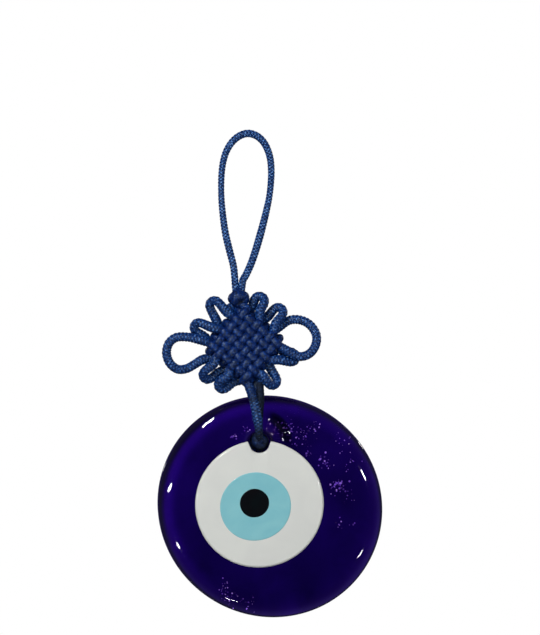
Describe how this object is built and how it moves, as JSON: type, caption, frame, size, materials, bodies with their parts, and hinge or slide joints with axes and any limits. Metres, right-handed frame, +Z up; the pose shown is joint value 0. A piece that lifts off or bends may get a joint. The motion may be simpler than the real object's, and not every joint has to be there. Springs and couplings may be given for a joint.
{
  "type": "evil eye ornament",
  "caption": "Round layered glass eye charm hung by a braided cord that is tied into a hanging loop, a button knot and a woven mystic knot with petals and ears.",
  "frame": {"origin": "underside of the hanging loop's top, where the hook or nail bears", "axes": "+Z up along the plumb line through the ornament, +X to the right seen from the front, the glass's eye side faces -Y"},
  "size_m": [0.0822, 0.019, 0.1784],
  "materials": {
    "blue_cord": "satin braid",
    "cobalt_glass": "fire polished, translucent",
    "white_glass": "fire polished, opaque",
    "light_blue_glass": "fire polished, opaque",
    "black_glass": "fire polished, opaque"
  },
  "bodies": {
    "loop": {"hanging_loop": "blue_cord"},
    "crown": {"button_knot": "blue_cord"},
    "knot": {"woven_pass_upper_right_1": "blue_cord", "woven_pass_upper_right_2": "blue_cord", "woven_pass_upper_right_3": "blue_cord", "woven_pass_lower_right_1": "blue_cord", "woven_pass_lower_right_2": "blue_cord", "woven_pass_lower_right_3": "blue_cord", "woven_pass_lower_left_1": "blue_cord", "woven_pass_lower_left_2": "blue_cord", "woven_pass_lower_left_3": "blue_cord", "woven_pass_upper_left_1": "blue_cord", "woven_pass_upper_left_2": "blue_cord", "woven_pass_upper_left_3": "blue_cord", "petal_upper_right_1": "blue_cord", "petal_upper_right_2": "blue_cord", "petal_lower_right_1": "blue_cord", "petal_lower_right_2": "blue_cord", "petal_lower_left_1": "blue_cord", "petal_lower_left_2": "blue_cord", "petal_upper_left_1": "blue_cord", "petal_upper_left_2": "blue_cord", "ear_right": "blue_cord", "ear_left": "blue_cord"},
    "crossing": {"tail_crossing": "blue_cord"},
    "tails": {"tail_left": "blue_cord", "tail_right": "blue_cord", "stopper_knot": "blue_cord", "cut_end_left": "blue_cord", "cut_end_right": "blue_cord"},
    "glass": {"cobalt_disc": "cobalt_glass", "white_layer": "white_glass", "light_blue_layer": "light_blue_glass", "pupil": "black_glass"}
  },
  "joints": [
    {"name": "loop_nod", "type": "hinge", "parent": "loop", "child": "crown", "pos_m": [-0.0075, 0, -0.0578], "axis": [1, 0, 0], "range_deg": [-45, 45]},
    {"name": "loop_sway", "type": "hinge", "parent": "crown", "child": "knot", "pos_m": [-0.0075, 0, -0.0578], "axis": [0, 1, 0], "range_deg": [-20, 20]},
    {"name": "tail_nod", "type": "hinge", "parent": "knot", "child": "crossing", "pos_m": [-0.0033, -0.0006, -0.0908], "axis": [1, 0, 0], "range_deg": [-30, 30]},
    {"name": "tail_twist", "type": "hinge", "parent": "crossing", "child": "tails", "pos_m": [-0.0033, -0.0006, -0.0908], "axis": [0, 0, 1], "range_deg": [-60, 60], "stiffness_Nm_per_rad": 0.0002},
    {"name": "glass_swing", "type": "hinge", "parent": "tails", "child": "glass", "pos_m": [-0.0029, 0.0008, -0.111], "axis": [0, 1, 0], "range_deg": [-15, 15]}
  ]
}
